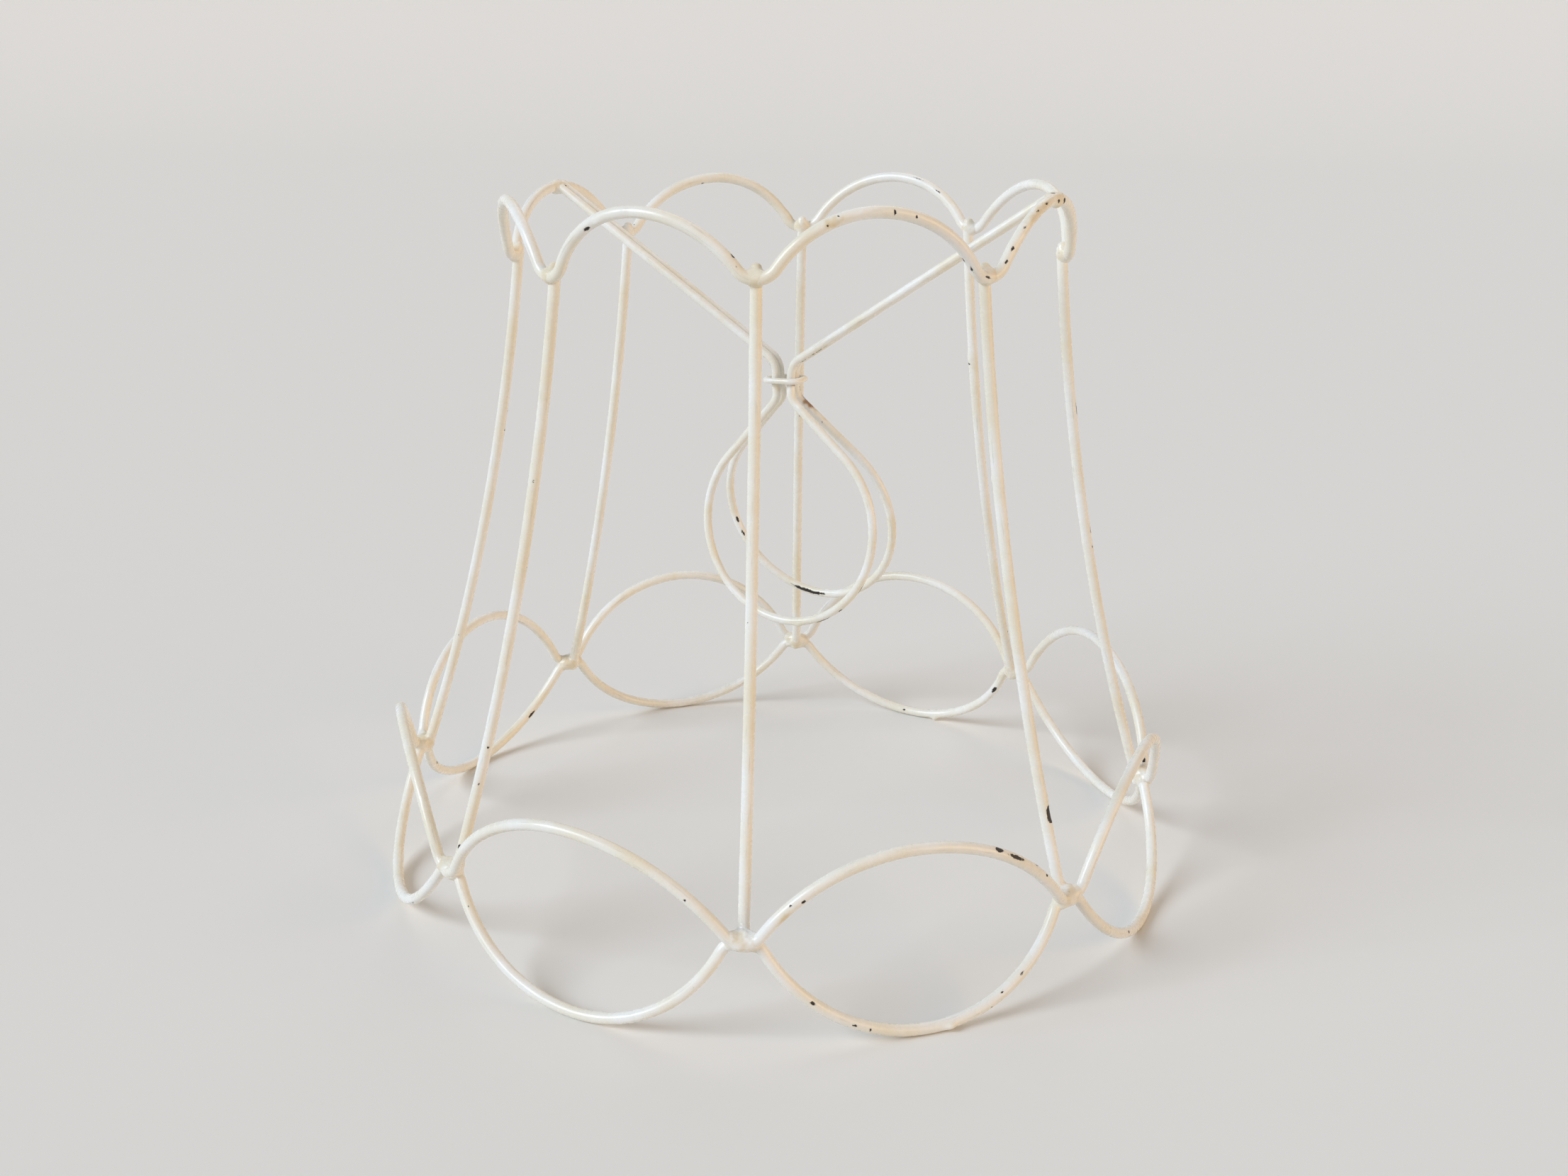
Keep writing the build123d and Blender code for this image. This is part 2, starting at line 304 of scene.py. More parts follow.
@dataclass
class RoundWire:
    """A round wire along an axis, and what its paint does along it.

    Attributes:
        node: the CAD node it stands for.
        axis: closely spaced points along its middle, in millimetres.
        diameter: of the wire with its paint.
        outward: the direction, or one for each point of the axis, from which turns are counted.
        closed: whether the wire is a ring.
        seed: of its own noise.
        sides: vertices round the wire.
        step: between stations along the wire, in millimetres.
        along, middle, way, first, second: run, place and directions at each station.
        marks: each with its run along the wire and its turn round it.
    """

    node: str
    axis: np.ndarray
    diameter: float
    outward: np.ndarray
    closed: bool
    seed: int
    sides: int = 24
    step: float = 0.4
    length: float = field(init=False)
    along: np.ndarray = field(init=False)
    middle: np.ndarray = field(init=False)
    way: np.ndarray = field(init=False)
    first: np.ndarray = field(init=False)
    second: np.ndarray = field(init=False)
    marks: list[tuple[Mark, float, float]] = field(init=False, default_factory=list)

    def __post_init__(self) -> None:
        """Spaces stations evenly along the axis, closer at cut ends, and gives each its directions."""
        gaps = np.linalg.norm(np.diff(self.axis, axis=0), axis=1)
        run = np.concatenate([[0], np.cumsum(gaps)])
        kept = np.append(True, gaps > 1e-9)
        self.axis, run = self.axis[kept], run[kept]
        if self.outward.ndim == 2:
            self.outward = self.outward[kept]
        self.length = run[-1]
        count = int(round(self.length / self.step))
        if self.closed:
            self.along = np.linspace(0, self.length, count, endpoint=False)
        else:
            near = self.cap * (1 - np.cos(np.linspace(0, pi / 2, 7)))
            self.along = np.concatenate([near[:-1], np.linspace(self.cap, self.length - self.cap, count),
                                         self.length - near[-2::-1]])
        self.middle = np.column_stack([np.interp(self.along, run, self.axis[:, i]) for i in range(3)])
        slope = np.gradient(self.axis, run, axis=0)
        if self.closed:
            slope[0] = slope[-1] = self.axis[1] - self.axis[-2]
        self.way = unit(np.column_stack([np.interp(self.along, run, slope[:, i]) for i in range(3)]))
        out = self.outward
        if out.ndim == 2:
            out = np.column_stack([np.interp(self.along, run, out[:, i]) for i in range(3)])
        out = np.broadcast_to(out, self.way.shape)
        self.first = unit(out - (out * self.way).sum(axis=1, keepdims=True) * self.way)
        self.second = np.cross(self.way, self.first)

    @property
    def radius(self) -> float:
        """Half the diameter."""
        return self.diameter / 2

    @property
    def cap(self) -> float:
        """Length over which paint rounds a cut end."""
        return 0.35 * self.diameter

    def spot(self, camera: PhotoCamera, pixel: tuple[float, float]) -> tuple[float, float]:
        """Where the camera sees this wire at a pixel.

        Returns:
            The run along the wire and the turn round it, in radians.
        """
        ray = camera.ray(pixel)
        away = self.middle - np.array(camera.place)
        offset = away - (away @ ray)[:, None] * ray
        nearest = int(np.argmin(np.linalg.norm(offset, axis=1)))
        lateral = -offset[nearest]
        lateral = lateral - (lateral @ self.way[nearest]) * self.way[nearest]
        towards = -ray + (ray @ self.way[nearest]) * self.way[nearest]
        depth = max(self.radius ** 2 - lateral @ lateral, (0.2 * self.radius) ** 2) ** 0.5
        normal = lateral + unit(towards) * depth
        return self.along[nearest], atan2(normal @ self.second[nearest], normal @ self.first[nearest])

    def offsets(self, run: float, turn: float) -> tuple[np.ndarray, np.ndarray]:
        """How far each vertex lies from a spot, along and round the wire, in millimetres."""
        along = self.along[:, None] - run
        if self.closed:
            along = (along + self.length / 2) % self.length - self.length / 2
        angles = np.arange(self.sides) * 2 * pi / self.sides
        round_ = (angles[None] - turn + pi) % (2 * pi) - pi
        shape = (len(self.along), self.sides)
        return np.broadcast_to(along, shape), np.broadcast_to(round_ * self.radius, shape)

    def build(self, brush: "BrushedCoat") -> bpy.types.Object:
        """The painted wire as a mesh, with its wear in vertex attributes.

        Args:
            brush: how the paint lies on the wire.

        Returns:
            The mesh object, riding on the frame in the place of its CAD node.
        """
        stations = len(self.along)
        angles = np.arange(self.sides) * 2 * pi / self.sides
        ring = (self.first[:, None] * np.cos(angles)[None, :, None]
                + self.second[:, None] * np.sin(angles)[None, :, None])
        bare = self.middle[:, None] + ring * self.radius
        wirewise = np.stack(np.broadcast_arrays(self.along[:, None], self.radius * np.cos(angles)[None],
                                                self.radius * np.sin(angles)[None]), axis=-1)
        shape = (stations, self.sides)
        chip = np.full(shape, 3.0)
        stain = {MarkKind.GRIME: np.zeros(shape), MarkKind.RUST: np.zeros(shape)}
        height = brush.height(bare.reshape(-1, 3), wirewise.reshape(-1, 3), self.seed).reshape(shape)
        ragged = lumps(bare.reshape(-1, 3), 0.9, self.seed + 5).reshape(shape)
        for mark, run, turn in self.marks:
            along, across = self.offsets(run, turn)
            reach = np.hypot(along / mark.length, across / mark.width)
            if mark.kind is MarkKind.CHIP:
                size = min(mark.length, mark.width)
                chip = np.minimum(chip, (reach - 1) * size + ragged * min(0.25, 0.3 * size))
            elif mark.kind is MarkKind.LUMP:
                height += mark.height * np.exp(-reach ** 2 * 1.5) * (1 + 0.35 * ragged)
            else:
                stain[mark.kind] = np.maximum(stain[mark.kind], smooth_step(1.3 - reach + 0.5 * ragged))
        height -= brush.chip_depth * smooth_step(-chip / 0.3)
        thickness = self.radius + height
        if not self.closed:
            inward = np.clip(1 - np.minimum(self.along, self.length - self.along) / self.cap, 0, 1)
            thickness = thickness * np.sqrt(1 - 0.96 * inward ** 2)[:, None]
        places = (self.middle[:, None] + ring * thickness[..., None]).reshape(-1, 3)
        faces = self.faces(stations)
        extra = 0
        if not self.closed:
            places = np.vstack([places, self.middle[0], self.middle[-1]])
            extra = 2
        places = np.clip(places, *CAD_BOX)
        attributes = {"chip": chip, "grime": stain[MarkKind.GRIME], "rust": stain[MarkKind.RUST]}
        values = {name: np.append(array.ravel(), [array.ravel()[0]] * extra)
                  for name, array in attributes.items()}
        grain = np.vstack([wirewise.reshape(-1, 3)] + [wirewise.reshape(-1, 3)[:1]] * extra)
        piece = mesh_object(f"painted_{self.node}", places, faces, values, grain)
        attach(piece, "root")
        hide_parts(self.node)
        return piece

    def faces(self, stations: int) -> list[tuple[int, ...]]:
        """Quads between neighbouring stations, and fans over cut ends."""
        rows = stations if self.closed else stations - 1
        faces = []
        for row in range(rows):
            near, far = row * self.sides, (row + 1) % stations * self.sides
            for side in range(self.sides):
                after = (side + 1) % self.sides
                faces.append((near + side, near + after, far + after, far + side))
        if not self.closed:
            last = (stations - 1) * self.sides
            first_pole, last_pole = stations * self.sides, stations * self.sides + 1
            for side in range(self.sides):
                after = (side + 1) % self.sides
                faces.append((first_pole, after, side))
                faces.append((last_pole, last + side, last + after))
        return faces


def mesh_object(name: str, places: np.ndarray, faces: list[tuple[int, ...]], values: dict[str, np.ndarray],
                grain: np.ndarray) -> bpy.types.Object:
    """A smooth shaded mesh object with attributes for its material.

    Args:
        name: of the object.
        places: vertices in millimetres.
        faces: vertex numbers of each face.
        values: a number for each vertex, by attribute name.
        grain: for each vertex, a place in millimetres that runs along the wire.

    Returns:
        The linked object.
    """
    mesh = bpy.data.meshes.new(name)
    mesh.from_pydata((places * MM).tolist(), [], faces)
    for label, array in values.items():
        mesh.attributes.new(label, "FLOAT", "POINT").data.foreach_set("value", array.astype(np.float32))
    vectors = mesh.attributes.new("grain", "FLOAT_VECTOR", "POINT")
    vectors.data.foreach_set("vector", grain.astype(np.float32).ravel())
    mesh.polygons.foreach_set("use_smooth", np.ones(len(mesh.polygons), dtype=bool))
    mesh.update()
    piece = bpy.data.objects.new(name, mesh)
    bpy.context.scene.collection.objects.link(piece)
    return piece


@dataclass(frozen=True)
class BrushedCoat:
    """How hand brushed enamel lies on a wire: long streaks, small lumps and a few thick runs."""

    sunk: float = 0.04
    streak_length: float = 18.0
    streak_width: float = 0.9
    streak_height: float = 0.03
    lump_size: float = 4.5
    lump_height: float = 0.02
    run_size: float = 11.0
    run_height: float = 0.1
    chip_depth: float = 0.14

    def height(self, places: np.ndarray, wirewise: np.ndarray, seed: int) -> np.ndarray:
        """How far the paint stands off the wire's own round, in millimetres, at each place."""
        drawn = wirewise / (self.streak_length, self.streak_width, self.streak_width)
        streaks = lumps(drawn, 1.0, seed + 1)
        small = lumps(places, self.lump_size, seed + 2)
        fine = lumps(places, self.lump_size / 3, seed + 3)
        runs = smooth_step(lumps(places, self.run_size, seed + 4) * 2.2 - 1.1)
        return (self.streak_height * streaks + self.lump_height * small + 0.2 * self.lump_height * fine
                + self.run_height * runs * (0.6 + 0.4 * small) - self.sunk)


# Sub-assemblies

@dataclass(frozen=True)
class Wires:
    """Diameters of the three wires with their paint, and how the welds press them together."""

    frame: float = 3.1
    clip: float = 2.5
    tie: float = 1.8
    weld_spacing: float = 1.6
    seat: float = 0.05


@dataclass(frozen=True)
class Layout:
    """Where the joints and scallops stand, counted anticlockwise from the front strut."""

    struts: int = 8
    front: float = -94.0
    bend_radius: float = 6.0

    def joints(self, radius: float, strays: tuple[int, ...]) -> list[float]:
        """Direction of each joint, moved along the ring by its stray in millimetres."""
        return [self.front + place * 360 / self.struts + degrees(stray / radius)
                for place, stray in enumerate(strays)]

    def scallops(self, joints: list[float], radius: float, strays: tuple[int, ...]) -> list[float]:
        """Direction of each scallop's crown, between its two joints, moved by its stray."""
        after = joints[1:] + [joints[0] + 360]
        return [(first + second) / 2 + degrees(stray / radius)
                for first, second, stray in zip(joints, after, strays)]


@dataclass(frozen=True)
class TopRing:
    """The ring at the top of the frame, a little shifted, tilted and twisted."""

    layout: Layout = Layout()
    wires: Wires = Wires()
    radius: float = 77.5
    joint_height: float = 181.0
    crest_out: float = -0.5
    crest_height: float = 197.0
    shift: float = 0.8
    tilt: tuple[float, float] = (1.2, -1.3)
    twist: float = -0.6
    joint_round: tuple[int, ...] = (-1, -1, -1, 3, 1, 0, -1, 0)
    joint_up: tuple[int, ...] = (1, -1, -1, 1, 0, 0, -1, -1)
    crest_round: tuple[int, ...] = (-1, 0, 0, 0, -2, -1, 1, -2)

    def seat(self, point: np.ndarray) -> np.ndarray:
        """Moves a point of an even ring to where the ring really sits."""
        point = turned(point, UP, self.twist)
        climb = point[0] * sin(radians(self.tilt[0])) + point[1] * sin(radians(self.tilt[1]))
        return point + np.array([self.shift, 0, climb])

    def points(self, radius: float) -> list[np.ndarray]:
        """The ring's joints, or the struts' tops at a smaller radius."""
        ways = self.layout.joints(self.radius, self.joint_round)
        return [self.seat(around(radius, way, self.joint_height + up))
                for way, up in zip(ways, self.joint_up)]

    def crests(self) -> list[np.ndarray]:
        """The highest point of each scallop."""
        joints = self.layout.joints(self.radius, self.joint_round)
        ways = self.layout.scallops(joints, self.radius, self.crest_round)
        return [self.seat(around(self.radius + self.crest_out, way, self.crest_height)) for way in ways]

    def wire(self) -> RoundWire:
        """The ring's one wire."""
        axis = chain(ring_spans(self.points(self.radius), self.crests(), self.layout.bend_radius))
        return RoundWire("top_ring", axis, self.wires.frame, axis * (1, 1, 0), True, seed=11)


@dataclass(frozen=True)
class BaseRings:
    """The two rings of the base: scallops up on the outer one, scallops down on the one behind it."""

    layout: Layout = Layout()
    wires: Wires = Wires()
    radius: float = 111.0
    joint_height: float = 26.5
    crest_height: float = 52.0
    trough_out: float = 3.0
    joint_round: tuple[int, ...] = (0, 4, 2, 2, 1, 1, -3, -4)
    joint_up: tuple[int, ...] = (2, -1, -1, 2, -1, 0, 0, -1)
    crest_round: tuple[int, ...] = (-2, 2, 5, 2, -1, -1, -2, -4)
    crest_up: tuple[int, ...] = (-1, 0, 1, 2, 0, 1, 0, -1)
    trough_round: tuple[int, ...] = (2, -1, -2, -2, 0, 0, 1, 2)
    trough_stray_out: tuple[int, ...] = (-1, 1, 1, -1, -1, 1, 1, -1)

    def points(self, radius: float) -> list[np.ndarray]:
        """A ring's joints, or the struts' feet at a smaller radius."""
        ways = self.layout.joints(self.radius, self.joint_round)
        return [around(radius, way, self.joint_height + up) for way, up in zip(ways, self.joint_up)]

    def directions(self, strays: tuple[int, ...]) -> list[float]:
        """Direction of each crest or trough."""
        return self.layout.scallops(self.layout.joints(self.radius, self.joint_round), self.radius, strays)

    def upper(self) -> RoundWire:
        """The ring with its scallops up."""
        joints = self.points(self.radius + self.wires.weld_spacing)
        crests = [around(self.radius, way, self.crest_height + up)
                  for way, up in zip(self.directions(self.crest_round), self.crest_up)]
        axis = chain(ring_spans(joints, crests, self.layout.bend_radius))
        return RoundWire("base_upper_ring", axis, self.wires.frame, axis * (1, 1, 0), True, seed=23)

    def lower(self) -> RoundWire:
        """The ring with its scallops down, on which the frame stands."""
        troughs = [around(self.radius + self.trough_out + out, way, self.wires.frame / 2)
                   for way, out in zip(self.directions(self.trough_round), self.trough_stray_out)]
        joints = self.points(self.radius)
        axis = chain(ring_spans(joints, troughs, self.layout.bend_radius, level_crowns=True))
        return RoundWire("base_lower_ring", axis, self.wires.frame, axis * (1, 1, 0), True, seed=37)


@dataclass(frozen=True)
class Struts:
    """The eight bowed wires between the rings, welded inside them."""

    top: TopRing
    base: BaseRings
    bow: float = 4.5
    stub: float = 2.8
    foot: float = 1.5

    def build(self) -> list[RoundWire]:
        """One wire for each strut."""
        spacing = self.top.wires.weld_spacing
        tops = self.top.points(self.top.radius - spacing)
        feet = self.base.points(self.base.radius - spacing)
        found = []
        for number, (top, foot) in enumerate(zip(tops, feet), start=1):
            middle = (top + foot) / 2
            inwards = -unit(middle * (1, 1, 0))
            way = way_through(top, middle + inwards * self.bow, foot)
            end_way = -way_through(foot, middle + inwards * self.bow, top)
            axis = chain([Span(top - way * self.stub, way, top), Span(top, way, foot),
                          Span(foot, end_way, foot + end_way * self.foot)])
            found.append(RoundWire(f"strut_{number}", axis, self.top.wires.frame, -inwards, False,
                                   seed=40 + number))
        return found


@dataclass(frozen=True)
class BulbClip:
    """Two thinner wires side by side, each an arm, a hoop and an arm, tied at the neck."""

    top: TopRing
    scallop: int = 1
    neck_height: float = 145.0
    neck_offset: float = 0.2
    leg_spacing: float = 4.8
    leg_above: float = 1.5
    leg_below: float = 0.7
    arm_bend: float = 6.0
    arm_inset: float = 1.0
    arm_rise: float = 0.5
    hoop_start: float = 3.6
    hoop_bend: float = 4.5
    hoop_radius: float = 27.9
    hoop_drop: float = 42.0
    hoop_turn: float = -4.0
    front_lean: float = 5.5
    back_lean: float = 12.9
    front_swing: float = 6.3
    back_swing: float = 3.2
    tie_play: float = 0.15
    tie_slack: float = 1.0
    tie_tilt: float = 3.0

    def crests(self) -> tuple[np.ndarray, np.ndarray]:
        """The crests that hold the left and the right arms."""
        crests = self.top.crests()
        return crests[(self.scallop + len(crests) // 2) % len(crests)], crests[self.scallop]

    def axes(self) -> tuple[np.ndarray, np.ndarray, np.ndarray]:
        """The neck's place, the way along the arms to the right, and the way to the front."""
        left, right = self.crests()
        along = unit((right - left) * (1, 1, 0))
        middle = (left + right) / 2
        neck = np.array([middle[0], middle[1], self.neck_height]) + along * self.neck_offset
        return neck, along, np.cross(along, UP)

    def side_points(self, neck: np.ndarray, end: int, crest: np.ndarray, sideways: np.ndarray,
                    down: np.ndarray) -> tuple[np.ndarray, np.ndarray]:
        """One side of a clip wire, from the arm's end to the rim of the hoop's round part.

        Args:
            neck: the wire's own middle at the neck.
            end: 1 for the right side, -1 for the left.
            crest: the crest that holds the arm.
            sideways, down: the hoop's directions.

        Returns:
            The points in order, and the rim.
        """
        along = self.axes()[1]
        outwards = along * end
        aim = crest - outwards * self.arm_inset + UP * self.arm_rise
        leg_top = neck + outwards * (self.leg_spacing / 2) + UP * self.leg_above
        centre = leg_top + outwards * self.arm_bend
        reach, climb = (aim - centre) @ outwards, (aim - centre) @ UP
        slope = atan2(climb, reach) - asin(self.arm_bend / hypot(reach, climb))
        bend_end = centre + (UP * cos(slope) - outwards * sin(slope)) * self.arm_bend
        arm_way = outwards * cos(slope) + UP * sin(slope)
        arm_end = bend_end + arm_way * ((aim - bend_end) @ arm_way)
        leg_foot = leg_top - UP * (self.leg_above + self.leg_below)
        hoop_top = neck + sideways * (end * self.leg_spacing / 2) + down * self.hoop_start
        middle, way = meeting(leg_foot, -UP, hoop_top, down, np.linalg.norm(hoop_top - leg_foot) / 4)
        across, drop = self.leg_spacing / 2 + self.hoop_bend, self.hoop_drop - self.hoop_start
        flare = asin((self.hoop_bend + self.hoop_radius) / hypot(across, drop)) - atan2(across, drop)
        flank_top = (hoop_top + sideways * (end * self.hoop_bend * (1 - cos(flare)))
                     + down * (self.hoop_bend * sin(flare)))
        rim = (neck + sideways * (end * self.hoop_radius * cos(flare))
               + down * (self.hoop_drop - self.hoop_radius * sin(flare)))
        points = chain([Span(arm_end, -arm_way, bend_end), Span(bend_end, -arm_way, leg_top),
                        Span(leg_top, -UP, leg_foot), Span(leg_foot, -UP, middle),
                        Span(middle, way, hoop_top), Span(hoop_top, down, flank_top),
                        Span(flank_top, unit(rim - flank_top), rim)])
        return points, rim

    def wire(self, node: str, side: int, lean: float, swing: float, seed: int) -> RoundWire:
        """One clip wire; side is 1 in front and -1 behind."""
        neck, along, across = self.axes()
        left, right = self.crests()
        wires = self.top.wires
        place = neck + across * (side * (wires.clip + wires.seat) / 2)
        sideways = turned(along, UP, self.hoop_turn)
        outwards = turned(across, UP, self.hoop_turn) * side
        down = outwards * sin(radians(lean)) - UP * cos(radians(lean))
        hang = radians(swing)
        sideways, down = (sideways * cos(hang) - down * sin(hang), sideways * sin(hang) + down * cos(hang))
        left_side, left_rim = self.side_points(place, -1, left, sideways, down)
        right_side, right_rim = self.side_points(place, 1, right, sideways, down)
        bottom = place + down * (self.hoop_drop + self.hoop_radius)
        round_part = Span(left_rim, way_through(left_rim, bottom, right_rim), right_rim).points()
        axis = np.vstack([left_side[:-1], round_part, right_side[::-1]])
        return RoundWire(node, axis, wires.clip, across, False, seed, sides=20)

    def tie(self) -> RoundWire:
        """The closed loop round the four legs."""
        neck, along, across = self.axes()
        wires = self.top.wires
        corner = (wires.clip + wires.tie) / 2 + self.tie_play
        half_long, half_wide = (self.leg_spacing + self.tie_slack) / 2, (wires.clip + wires.seat) / 2
        long_way, up = turned(along, across, self.tie_tilt), turned(UP, across, self.tie_tilt)
        wide_way = np.cross(up, long_way)
        turn = np.linspace(0, 2 * pi, 240, endpoint=False)
        outline = [(half_long * (1 if cos(t) >= 0 else -1) + corner * cos(t),
                    half_wide * (1 if sin(t) >= 0 else -1) + corner * sin(t)) for t in turn]
        points = np.array([neck + long_way * x + wide_way * y for x, y in outline])
        axis = np.vstack([points, points[:1]])
        return RoundWire("clip_tie", axis, wires.tie, up, True, seed=71, sides=20, step=0.25)


@dataclass(frozen=True)
class WeldBead:
    """A lump of weld metal under paint, run into the wires that it holds.

    Attributes:
        name: of the piece.
        centre: of the lump, in millimetres.
        wires: that it joins.
        way: along which the lump is longest.
        half_length, half_width: of the lump.
        rough: height of its own lumps.
        seed: of its noise.
        grime: how much yellow glaze and dirt it holds, from 0 to 1.
        pits: how much of its paint is gone in small pits, from 0 to 1.
        voxel: of the grid that it is meshed from, in millimetres.
        fillet: how softly it runs into its wires.
        fade, fade_depth: over what length its ends sink into the wires, and how deep.
        sunk: how far its paint lies below the wires' own round.
        lump_size, fine_size, stain_size, pit_size: widths in its noise.
        far: a distance beyond its grid.
    """

    name: str
    centre: np.ndarray
    wires: tuple[RoundWire, ...]
    way: np.ndarray
    half_length: float
    half_width: float
    rough: float
    seed: int
    grime: float = 0.8
    pits: float = 0.0
    voxel: float = 0.2
    fillet: float = 1.3
    fade: float = 3.2
    fade_depth: float = 2.4
    sunk: float = 0.04
    lump_size: float = 1.7
    fine_size: float = 0.8
    stain_size: float = 2.2
    pit_size: float = 1.1
    far: float = 9.0

    def distances(self, grid: np.ndarray, reach: float) -> np.ndarray:
        """How far each place lies outside the lump.

        Args:
            grid: places counted from the centre, one a row.
            reach: half the width of the grid.

        Returns:
            A distance in millimetres for each place, below zero inside.
        """
        found = np.full(len(grid), self.far)
        for wire in self.wires:
            close = wire.middle[np.linalg.norm(wire.middle - self.centre, axis=1) < reach + 4] - self.centre
            gaps = (grid ** 2).sum(axis=1)[:, None] + (close ** 2).sum(axis=1)[None] - 2 * grid @ close.T
            paint = np.sqrt(gaps.min(axis=1).clip(0)) - wire.radius + self.sunk
            found = smooth_union(found, paint, self.fillet)
        along = grid @ self.way
        across = np.sqrt(((grid - along[:, None] * self.way) ** 2).sum(axis=1))
        egg = (np.hypot(along / self.half_length, across / self.half_width) - 1) * self.half_width
        found = smooth_union(found, egg, self.fillet)
        places = grid + self.centre
        found -= (self.rough * lumps(places, self.lump_size, self.seed)
                  + 0.4 * self.rough * lumps(places, self.fine_size, self.seed + 1))
        apart = np.linalg.norm(grid, axis=1) - self.half_length
        return found + self.fade_depth * smooth_step((apart + 0.6) / self.fade) ** 1.5

    def build(self) -> bpy.types.Object:
        """The lump as a mesh that sinks into its wires at its ends."""
        reach = self.half_length + self.fade + 0.8
        steps = int(2 * reach / self.voxel)
        ticks = (np.arange(steps) - steps / 2) * self.voxel
        grid = np.stack(np.meshgrid(ticks, ticks, ticks, indexing="ij"), axis=-1).reshape(-1, 3)
        cube = self.distances(grid, reach).reshape(steps, steps, steps)
        volume = openvdb.FloatGrid(self.far)
        volume.copyFromArray(cube.astype(np.float32))
        points, quads = volume.convertToQuads(0.0)
        points = np.clip(points * self.voxel - steps / 2 * self.voxel + self.centre, *CAD_BOX)
        sides = points[quads.astype(int)]
        facing = np.cross(sides[:, 2] - sides[:, 0], sides[:, 3] - sides[:, 1])
        if ((sides.mean(axis=1) - self.centre) * facing).sum() < 0:
            quads = quads[:, ::-1]
        away = np.linalg.norm(points - self.centre, axis=1)
        close_by = smooth_step(1.2 - away / (self.half_length + self.fade))
        stained = smooth_step(0.5 + 0.9 * lumps(points, self.stain_size, self.seed + 2))
        grime = self.grime * stained * close_by
        chip = 1.9 + 1.2 * lumps(points, self.pit_size, self.seed + 3) - 1.9 * self.pits * close_by
        values = {"chip": chip, "grime": grime, "rust": np.zeros(len(points))}
        piece = mesh_object(self.name, points, quads.tolist(), values, points)
        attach(piece, "root")
        return piece


# Finishes

def linear(code: str) -> tuple[float, float, float, float]:
    """The linear colour of an sRGB hex code such as f4efe6."""
    shares = [int(code[i:i + 2], 16) / 255 for i in (0, 2, 4)]
    return tuple(s / 12.92 if s <= 0.04045 else ((s + 0.055) / 1.055) ** 2.4 for s in shares) + (1.0,)


def add_node(tree: bpy.types.NodeTree, kind: str, settings: dict | None = None,
             inputs: dict | None = None) -> bpy.types.Node:
    """Adds a shader node.

    Args:
        tree: the material's node tree.
        kind: Blender's name of the node's type.
        settings: the node's own properties.
        inputs: for each input socket, a value or the output socket to link to it.

    Returns:
        The node.
    """
    node = tree.nodes.new(kind)
    for name, value in (settings or {}).items():
        setattr(node, name, value)
    for name, value in (inputs or {}).items():
        if isinstance(value, bpy.types.NodeSocket):
            tree.links.new(value, node.inputs[name])
        else:
            node.inputs[name].default_value = value
    return node


